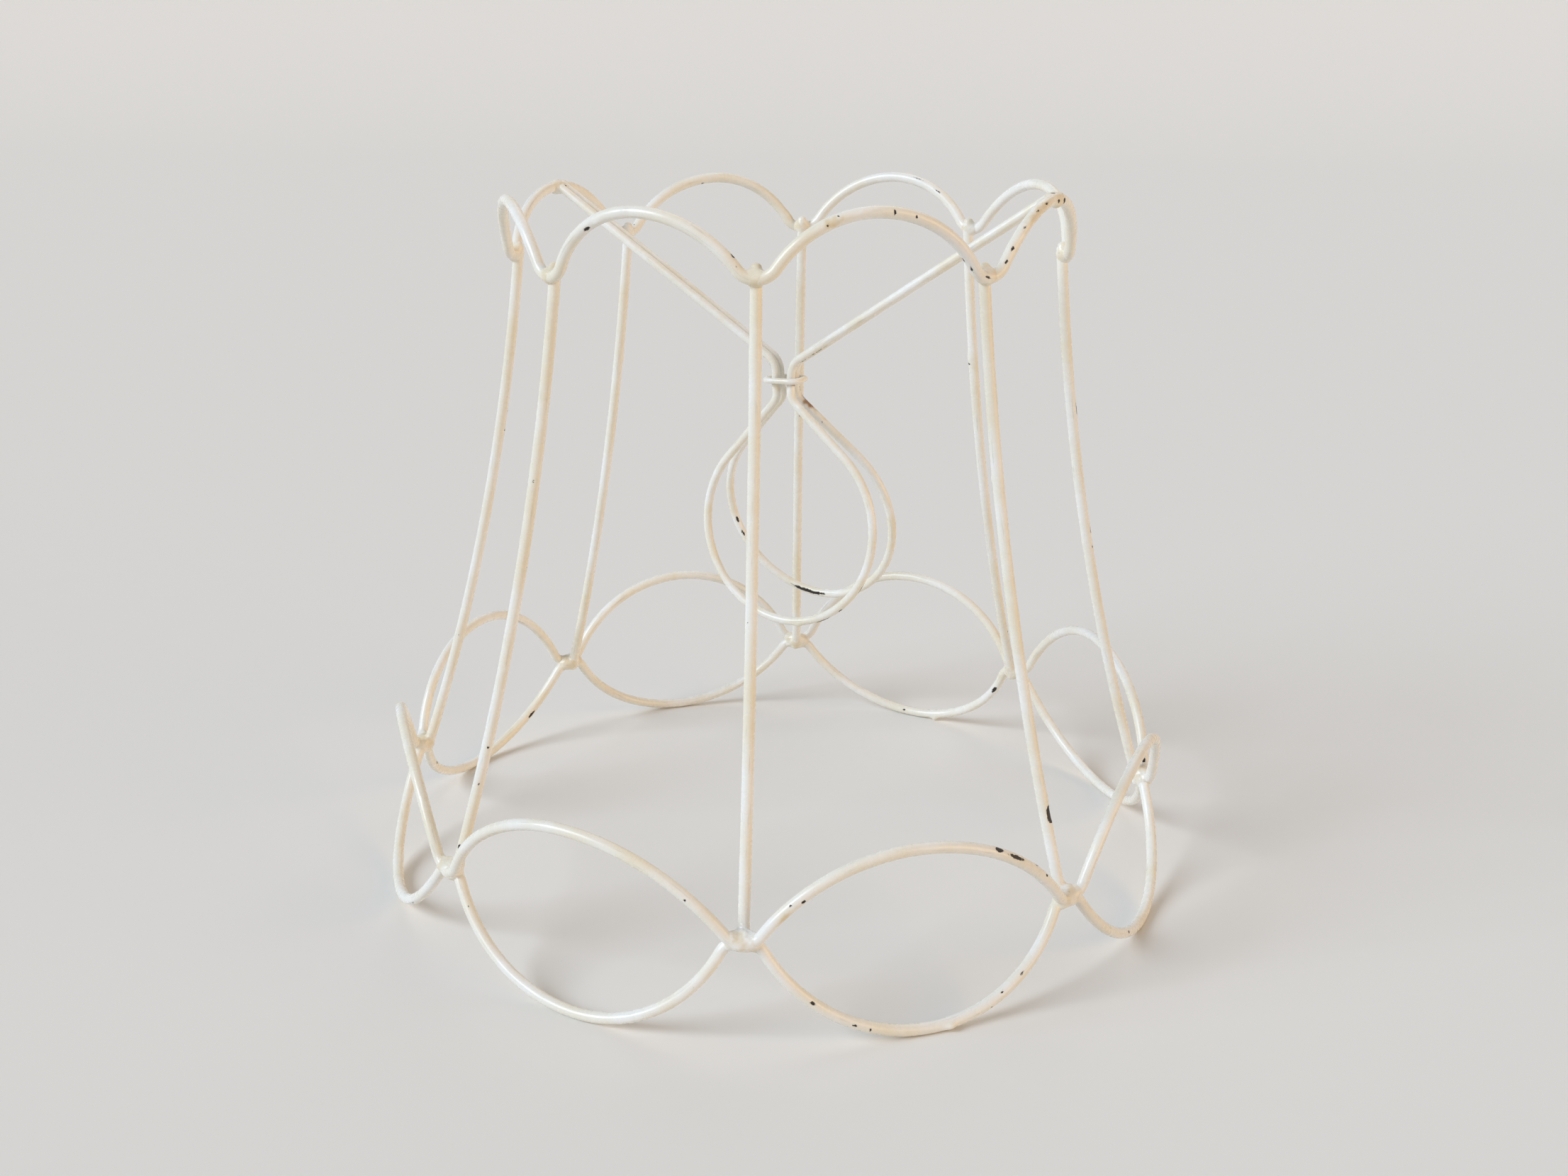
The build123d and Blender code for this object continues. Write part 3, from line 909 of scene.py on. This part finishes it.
@dataclass(frozen=True)
class BrushedEnamel:
    """Old gloss enamel, brushed by hand on steel wire: white, yellowed in patches, chipped to dark steel.

    The gloss gives the eye long soft highlights, broken by brush marks along the wire.
    """

    name: str
    white: str = "f0eee8"
    ivory: str = "ebe3cf"
    glaze: str = "d6bd86"
    dirt: str = "8b8478"
    steel: str = "241d1a"
    rust: str = "8a5a1e"
    gloss_roughness: float = 0.24
    streak_mm: float = 1.1
    streak_stretch: float = 0.07
    worn_mm: float = 2.2
    crumb_mm: float = 0.5
    patch_mm: float = 22.0

    def build(self) -> bpy.types.Material:
        """The node material."""
        material = bpy.data.materials.new(self.name)
        material.use_nodes = True
        tree = material.node_tree
        tree.nodes.clear()
        grain = add_node(tree, "ShaderNodeAttribute", {"attribute_name": "grain"}).outputs["Vector"]
        chip = add_node(tree, "ShaderNodeAttribute", {"attribute_name": "chip"}).outputs["Fac"]
        grime = add_node(tree, "ShaderNodeAttribute", {"attribute_name": "grime"}).outputs["Fac"]
        rust = add_node(tree, "ShaderNodeAttribute", {"attribute_name": "rust"}).outputs["Fac"]
        place = add_node(tree, "ShaderNodeTexCoord").outputs["Object"]
        patches = add_node(tree, "ShaderNodeTexNoise", None, {
            "Vector": place, "Scale": 1 / (self.patch_mm * MM),
            "Detail": 3.0, "Roughness": 0.6}).outputs["Fac"]
        worn = add_node(tree, "ShaderNodeTexNoise", None, {
            "Vector": place, "Scale": 1 / (self.worn_mm * MM),
            "Detail": 4.0, "Roughness": 0.65}).outputs["Fac"]
        crumbs = add_node(tree, "ShaderNodeTexNoise", None, {
            "Vector": place, "Scale": 1 / (self.crumb_mm * MM),
            "Detail": 3.0, "Roughness": 0.6}).outputs["Fac"]
        drawn = add_node(tree, "ShaderNodeMapping", None, {
            "Vector": grain,
            "Scale": (self.streak_stretch / self.streak_mm, 1 / self.streak_mm, 1 / self.streak_mm)})
        streaks = add_node(tree, "ShaderNodeTexNoise", None, {
            "Vector": drawn.outputs["Vector"], "Scale": 1.6, "Detail": 3.0, "Roughness": 0.55}).outputs["Fac"]
        # Chips: the edge of the chip field, made ragged by fine noise
        frayed = add_node(tree, "ShaderNodeMath", {"operation": "MULTIPLY_ADD"}, {
            0: crumbs, 1: 0.7, 2: chip}).outputs[0]
        bare = add_node(tree, "ShaderNodeMapRange", None, {
            "Value": frayed, "From Min": 0.31, "From Max": 0.41,
            "To Min": 1.0, "To Max": 0.0}).outputs["Result"]
        # Colour of the paint: white and ivory patches, yellow glaze and dirt where it gathered
        tone = add_node(tree, "ShaderNodeMapRange", None, {
            "Value": patches, "From Min": 0.38, "From Max": 0.64}).outputs["Result"]
        colour = add_node(tree, "ShaderNodeMix", {"data_type": "RGBA"}, {
            0: tone, 6: linear(self.white), 7: linear(self.ivory)}).outputs[2]
        gathered = add_node(tree, "ShaderNodeMath", {"operation": "MULTIPLY"}, {0: grime, 1: worn}).outputs[0]
        colour = add_node(tree, "ShaderNodeMix", {"data_type": "RGBA"}, {
            0: gathered, 6: colour, 7: linear(self.glaze)}).outputs[2]
        dirt_share = add_node(tree, "ShaderNodeMapRange", None, {
            "Value": streaks, "From Min": 0.60, "From Max": 0.78,
            "To Min": 0.0, "To Max": 0.35}).outputs["Result"]
        colour = add_node(tree, "ShaderNodeMix", {"data_type": "RGBA"}, {
            0: dirt_share, 6: colour, 7: linear(self.dirt)}).outputs[2]
        rusty = add_node(tree, "ShaderNodeMath", {"operation": "MULTIPLY", "use_clamp": True}, {
            0: rust, 1: 0.9}).outputs[0]
        colour = add_node(tree, "ShaderNodeMix", {"data_type": "RGBA"}, {
            0: rusty, 6: colour, 7: linear(self.rust)}).outputs[2]
        colour = add_node(tree, "ShaderNodeMix", {"data_type": "RGBA"}, {
            0: bare, 6: colour, 7: linear(self.steel)}).outputs[2]
        gloss = add_node(tree, "ShaderNodeMapRange", None, {
            "Value": worn, "From Min": 0.3, "From Max": 0.7, "To Min": self.gloss_roughness - 0.06,
            "To Max": self.gloss_roughness + 0.12}).outputs["Result"]
        roughness = add_node(tree, "ShaderNodeMix", {"data_type": "FLOAT"}, {
            0: bare, 2: gloss, 3: 0.6}).outputs[0]
        # Relief: brush marks along the wire, orange peel, and the paint's edge round each chip
        relief = add_node(tree, "ShaderNodeMath", {"operation": "MULTIPLY_ADD"}, {
            0: worn, 1: 0.5, 2: streaks}).outputs[0]
        brushed = add_node(tree, "ShaderNodeBump", None, {
            "Height": relief, "Strength": 0.22, "Distance": 0.1 * MM}).outputs["Normal"]
        sunk = add_node(tree, "ShaderNodeMath", {"operation": "SUBTRACT"}, {0: 1.0, 1: bare}).outputs[0]
        edged = add_node(tree, "ShaderNodeBump", None, {
            "Height": sunk, "Strength": 0.8, "Distance": 0.15 * MM, "Normal": brushed}).outputs["Normal"]
        shader = add_node(tree, "ShaderNodeBsdfPrincipled", None, {
            "Base Color": colour, "Roughness": roughness, "Normal": edged, "IOR": 1.5}).outputs["BSDF"]
        add_node(tree, "ShaderNodeOutputMaterial", None, {"Surface": shader})
        return material


@dataclass(frozen=True)
class PaleFloor:
    """A plain pale studio floor, matt so that it gives only soft shadows."""

    name: str = "pale_floor"
    colour: str = "eeebe6"

    def build(self) -> bpy.types.Material:
        """The node material."""
        material = bpy.data.materials.new(self.name)
        material.use_nodes = True
        tree = material.node_tree
        tree.nodes.clear()
        shader = add_node(tree, "ShaderNodeBsdfDiffuse", None, {"Color": linear(self.colour)}).outputs["BSDF"]
        add_node(tree, "ShaderNodeOutputMaterial", None, {"Surface": shader})
        return material


# Studio

@dataclass(frozen=True)
class Studio:
    """A pale floor that curves up far behind, a cool soft key from the left and a warm fill opposite."""

    half_width: float = 12.0
    depth: float = 3.0
    curve_radius: float = 6.0
    backdrop: str = "dedbd6"
    sky: str = "e6eaf0"
    sky_strength: float = 0.3

    def floor(self) -> bpy.types.Object:
        """The floor and backdrop as one sheet."""
        turns = np.linspace(0, pi / 2, 48)
        profile = [(-self.half_width, 0.0)]
        profile += [(self.depth + self.curve_radius * sin(t), self.curve_radius * (1 - cos(t)))
                    for t in turns]
        places = [(x, y, z) for y, z in profile for x in (-self.half_width, self.half_width)]
        faces = [(2 * i, 2 * i + 1, 2 * i + 3, 2 * i + 2) for i in range(len(profile) - 1)]
        mesh = bpy.data.meshes.new("studio_floor")
        mesh.from_pydata(places, [], faces)
        mesh.polygons.foreach_set("use_smooth", np.ones(len(mesh.polygons), dtype=bool))
        floor = bpy.data.objects.new("studio_floor", mesh)
        bpy.context.scene.collection.objects.link(floor)
        floor.data.materials.append(PaleFloor().build())
        return floor

    def lamp(self, name: str, place: tuple[float, float, float], spread: float, power: float,
             code: str) -> None:
        """Adds a far soft lamp that shines on the object.

        Args:
            name: of the lamp.
            place: towards which the lamp lies.
            spread: how wide it looks from the object, in degrees.
            power: in watts a square metre.
            code: its sRGB hex colour.
        """
        data = bpy.data.lights.new(name, "SUN")
        data.angle = radians(spread)
        data.energy = power
        data.color = linear(code)[:3]
        lamp = bpy.data.objects.new(name, data)
        bpy.context.scene.collection.objects.link(lamp)
        back = unit(np.array(place))
        right = unit(np.cross(UP, back))
        over = np.cross(back, right)
        matrix = Matrix.Identity(4)
        for row in range(3):
            matrix[row][0], matrix[row][1], matrix[row][2] = right[row], over[row], back[row]
            matrix[row][3] = place[row]
        lamp.matrix_world = matrix

    def build(self) -> None:
        """Floor, lamps, world and plain view settings."""
        self.floor()
        self.lamp("key", (-1.5, -0.7, 1.0), 32.0, 2.5, "e6f2ff")
        self.lamp("fill", (1.6, -0.7, 0.35), 45.0, 1.6, "ffd49c")
        self.lamp("rim", (0.5, 1.5, 1.6), 40.0, 0.35, "ffffff")
        world = bpy.data.worlds.new("studio_world")
        bpy.context.scene.world = world
        world.use_nodes = True
        tree = world.node_tree
        tree.nodes.clear()
        lit = add_node(tree, "ShaderNodeBackground", None, {
            "Color": linear(self.sky), "Strength": self.sky_strength}).outputs[0]
        seen = add_node(tree, "ShaderNodeBackground", None, {
            "Color": linear(self.backdrop), "Strength": 1.0}).outputs[0]
        paths = add_node(tree, "ShaderNodeLightPath").outputs
        mirrored = add_node(tree, "ShaderNodeMath", {"operation": "MAXIMUM"}, {
            0: paths["Is Glossy Ray"], 1: paths["Is Transmission Ray"]}).outputs[0]
        shown = add_node(tree, "ShaderNodeMath", {"operation": "MAXIMUM"}, {
            0: paths["Is Camera Ray"], 1: mirrored}).outputs[0]
        mixed = add_node(tree, "ShaderNodeMixShader", None, {0: shown, 1: lit, 2: seen}).outputs[0]
        add_node(tree, "ShaderNodeOutputWorld", None, {"Surface": mixed})
        bpy.context.scene.view_settings.view_transform = "Standard"


CHIP, GRIME, RUST, LUMP = MarkKind.CHIP, MarkKind.GRIME, MarkKind.RUST, MarkKind.LUMP
MARKS = (
    # Front scallops of the top ring: lap weld with pits, bumps and small chips
    Mark(LUMP, "top_ring", (1163, 322), 2.4, 1.6, 0.3),
    Mark(LUMP, "top_ring", (1186, 307), 1.6, 1.3, 0.25),
    Mark(GRIME, "top_ring", (1172, 314), 3.0, 1.3),
    Mark(CHIP, "top_ring", (1167, 318), 0.35, 0.25),
    Mark(CHIP, "top_ring", (1181, 306), 0.3, 0.2),
    Mark(LUMP, "top_ring", (1215, 300), 0.9, 0.7, 0.2),
    Mark(CHIP, "top_ring", (1259, 299), 0.3, 0.5),
    Mark(CHIP, "top_ring", (1290, 305), 0.35, 0.35),
    Mark(CHIP, "top_ring", (1357, 367), 0.65, 0.5),
    Mark(CHIP, "top_ring", (1369, 377), 1.2, 0.28),
    Mark(CHIP, "top_ring", (1388, 389), 0.9, 0.3),
    Mark(LUMP, "top_ring", (1380, 399), 0.9, 0.8, 0.3),
    Mark(CHIP, "top_ring", (832, 320), 0.9, 0.45),
    Mark(LUMP, "top_ring", (848, 312), 1.2, 0.9, 0.3),
    Mark(CHIP, "top_ring", (878, 310), 0.25, 0.2),
    Mark(CHIP, "top_ring", (893, 318), 0.25, 0.2),
    # Right scallop, where the arms end: beige rough paint with many nicks
    Mark(GRIME, "top_ring", (1462, 305), 8.0, 1.6),
    Mark(LUMP, "top_ring", (1450, 318), 2.2, 1.0, 0.25),
    Mark(LUMP, "top_ring", (1425, 350), 1.6, 1.0, 0.2),
    Mark(CHIP, "top_ring", (1471, 292), 0.9, 0.3),
    Mark(CHIP, "top_ring", (1460, 303), 0.5, 0.25),
    Mark(CHIP, "top_ring", (1443, 325), 0.5, 0.2),
    Mark(CHIP, "top_ring", (1427, 354), 0.6, 0.35),
    Mark(CHIP, "top_ring", (1419, 371), 0.5, 0.3),
    Mark(CHIP, "top_ring", (1408, 367), 1.1, 0.14),
    # Back scallops of the top ring
    Mark(CHIP, "top_ring", (1299, 253), 1.8, 0.14),
    Mark(CHIP, "top_ring", (1325, 271), 1.2, 0.14),
    Mark(CHIP, "top_ring", (1133, 309), 0.8, 0.4),
    Mark(LUMP, "top_ring", (1120, 300), 2.2, 1.2, 0.3),
    Mark(GRIME, "top_ring", (1124, 306), 3.2, 1.5),
    Mark(CHIP, "top_ring", (990, 259), 0.5, 0.3),
    # Struts
    Mark(CHIP, "strut_2", (1482, 1148), 2.5, 1.4),
    Mark(LUMP, "strut_2", (1479, 1125), 1.6, 1.2, 0.12),
    Mark(CHIP, "strut_3", (1521, 577), 1.6, 0.35),
    Mark(CHIP, "strut_3", (1540, 748), 1.1, 0.3),
    Mark(CHIP, "strut_3", (1541, 770), 0.5, 0.25),
    Mark(LUMP, "strut_4", (1366, 506), 2.6, 1.5, 0.3),
    Mark(CHIP, "strut_4", (1367, 512), 0.3, 0.5),
    Mark(CHIP, "strut_4", (1422, 890), 0.3, 0.3),
    Mark(CHIP, "strut_7", (742, 583), 0.2, 0.3),
    Mark(CHIP, "strut_8", (689, 1053), 0.45, 0.35),
    Mark(CHIP, "strut_8", (676, 1104), 0.4, 0.3),
    Mark(CHIP, "strut_8", (648, 1194), 0.8, 0.4),
    Mark(CHIP, "strut_8", (744, 799), 0.3, 0.2),
    # Base, upper ring
    Mark(CHIP, "base_upper_ring", (1406, 1197), 1.3, 0.75),
    Mark(CHIP, "base_upper_ring", (1430, 1207), 2.6, 0.5),
    Mark(CHIP, "base_upper_ring", (1461, 1219), 0.8, 0.35),
    Mark(CHIP, "base_upper_ring", (1473, 1231), 0.5, 0.4),
    Mark(CHIP, "base_upper_ring", (965, 1270), 0.3, 0.25),
    Mark(CHIP, "base_upper_ring", (972, 1288), 0.2, 0.2),
    Mark(GRIME, "base_upper_ring", (1108, 1295), 2.0, 1.0),
    Mark(CHIP, "base_upper_ring", (1613, 1072), 0.9, 0.6),
    Mark(CHIP, "base_upper_ring", (574, 1020), 0.4, 0.3),
    # Base, lower ring
    Mark(CHIP, "base_lower_ring", (1145, 1415), 0.8, 0.45),
    Mark(CHIP, "base_lower_ring", (1203, 1446), 0.7, 0.3),
    Mark(CHIP, "base_lower_ring", (1225, 1453), 0.2, 0.5),
    Mark(CHIP, "base_lower_ring", (1413, 1400), 0.5, 0.25),
    Mark(CHIP, "base_lower_ring", (1440, 1375), 0.6, 0.25),
    Mark(LUMP, "base_lower_ring", (1340, 1448), 1.8, 1.0, 0.8),
    Mark(CHIP, "base_lower_ring", (1586, 1316), 0.5, 0.35),
    Mark(CHIP, "base_lower_ring", (1405, 970), 1.6, 0.55),
    Mark(LUMP, "base_lower_ring", (1319, 1015), 1.4, 1.0, 0.7),
    Mark(CHIP, "base_lower_ring", (750, 1008), 1.6, 0.5),
    Mark(CHIP, "base_lower_ring", (588, 1272), 0.5, 0.2),
    # Bulb clip
    Mark(CHIP, "clip_wire_back", (1170, 480), 0.5, 0.5),
    Mark(CHIP, "clip_wire_front", (1148, 500), 5.0, 0.16),
    Mark(RUST, "clip_wire_back", (1143, 562), 4.4, 1.8),
    Mark(CHIP, "clip_wire_back", (1141, 560), 2.2, 0.3),
    Mark(GRIME, "clip_wire_back", (1152, 577), 4.0, 1.6),
    Mark(CHIP, "clip_wire_back", (1131, 545), 0.9, 0.7),
    Mark(CHIP, "clip_wire_back", (1160, 596), 0.25, 0.25),
    Mark(CHIP, "clip_wire_front", (1086, 516), 1.3, 0.18),
    Mark(CHIP, "clip_wire_front", (1077, 505), 0.2, 0.2),
    Mark(LUMP, "clip_wire_front", (950, 392), 5.0, 0.7, 0.18),
    Mark(CHIP, "clip_wire_back", (1040, 731), 0.9, 0.35),
    Mark(CHIP, "clip_wire_back", (1048, 751), 0.9, 0.3),
    Mark(CHIP, "clip_wire_back", (1141, 834), 5.4, 0.5),
    Mark(CHIP, "clip_wire_front", (1188, 860), 0.7, 0.4),
    Mark(CHIP, "clip_wire_front", (1162, 876), 2.6, 0.35),
    Mark(CHIP, "clip_wire_front", (1217, 831), 1.6, 0.3),
    Mark(CHIP, "clip_wire_front", (1034, 841), 0.4, 0.2),
    Mark(LUMP, "clip_wire_front", (1127, 882), 1.2, 0.8, 0.5),
    Mark(RUST, "clip_wire_front", (1121, 541), 1.0, 1.2),
    Mark(GRIME, "clip_wire_front", (1095, 545), 2.0, 1.4),
)


def scatter(wire: RoundWire, spacing: float, seed: int) -> None:
    """Adds small seeded chips and paint lumps along a wire, about one every spacing millimetres."""
    random = np.random.default_rng(seed)
    for _ in range(int(wire.length / spacing)):
        run, turn = random.uniform(3, wire.length - 3), random.uniform(0, 2 * pi)
        size = random.exponential(0.08) + 0.1
        if random.random() < 0.6:
            mark = Mark(CHIP, wire.node, (0, 0), size * random.uniform(0.8, 2.4), size)
        else:
            mark = Mark(LUMP, wire.node, (0, 0), 0.7 + 3 * size, 0.6 + size, random.uniform(0.08, 0.22))
        wire.marks.append((mark, run, turn))


def weld_beads(top: TopRing, base: BaseRings, clip: BulbClip, wires: dict[str, RoundWire]) -> list[WeldBead]:
    """The weld lumps at both ends of each strut and at the ends of the clip's arms.

    Args:
        top, base, clip: whose welds they are.
        wires: by CAD node.

    Returns:
        One bead for each weld.
    """
    beads = []
    for place, point in enumerate(top.points(top.radius - top.wires.weld_spacing / 2)):
        way = unit(np.cross(UP, point * (1, 1, 0)))
        joined = (wires["top_ring"], wires[f"strut_{place + 1}"])
        beads.append(WeldBead(f"weld_top_{place + 1}", point + UP * 0.5, joined, way,
                              half_length=2.5, half_width=1.8, rough=0.16, seed=100 + place))
    for place, point in enumerate(base.points(base.radius + 0.2)):
        way = unit(np.cross(UP, point * (1, 1, 0)))
        joined = (wires["base_upper_ring"], wires["base_lower_ring"], wires[f"strut_{place + 1}"])
        beads.append(WeldBead(f"weld_base_{place + 1}", point, joined, way,
                              half_length=4.2, half_width=2.7, rough=0.28, seed=120 + place))
    arms = (wires["top_ring"], wires["clip_wire_front"], wires["clip_wire_back"])
    for name, crest, seed in zip(("weld_arms_left", "weld_arms_right"), clip.crests(), (140, 141)):
        way = unit(np.cross(UP, crest * (1, 1, 0)))
        beads.append(WeldBead(name, crest - UP * 0.3, arms, way, half_length=3.4, half_width=1.9,
                              rough=0.3, seed=seed, grime=0.9, pits=0.75))
    return beads


def main() -> None:
    """Builds the painted frame, its studio and its camera."""
    camera = PhotoCamera()
    camera.build()
    top, base = TopRing(), BaseRings()
    clip = BulbClip(top)
    frame_wires = [top.wire(), base.upper(), base.lower()] + Struts(top, base).build()
    clip_wires = [clip.wire("clip_wire_front", 1, clip.front_lean, clip.front_swing, 61),
                  clip.wire("clip_wire_back", -1, clip.back_lean, clip.back_swing, 67)]
    tie = clip.tie()
    wires = {wire.node: wire for wire in frame_wires + clip_wires + [tie]}
    for mark in MARKS:
        wire = wires[mark.wire]
        wire.marks.append((mark, *wire.spot(camera, mark.pixel)))
    for wire in frame_wires + clip_wires:
        scatter(wire, 70.0, wire.seed + 200)
    enamels = {"frame_wire": BrushedEnamel("brushed_enamel").build(),
               "clip_wire": BrushedEnamel("brushed_enamel_clip", patch_mm=10.0).build(),
               "tie_wire": BrushedEnamel("brushed_enamel_tie", patch_mm=6.0).build()}
    slots = {"clip_wire_front": "clip_wire", "clip_wire_back": "clip_wire", "clip_tie": "tie_wire"}
    coat = BrushedCoat()
    for wire in wires.values():
        low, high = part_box(wire.node)
        span = np.array([wire.middle.min(axis=0) - wire.radius, wire.middle.max(axis=0) + wire.radius]) * MM
        drift = np.abs(span - np.array([low, high])).max() / MM
        piece = wire.build(coat)
        slot = slots.get(wire.node, "frame_wire")
        piece.data.materials.append(enamels[slot])
        log.info("%s: %d faces, %.0f mm long, box within %.2f mm", piece.name, len(piece.data.polygons),
                 wire.length, drift)
    for bead in weld_beads(top, base, clip, wires):
        piece = bead.build()
        piece.data.materials.append(enamels["frame_wire"])
        log.info("%s: %d faces", piece.name, len(piece.data.polygons))
    Studio().build()


if __name__ == "__main__":
    main()
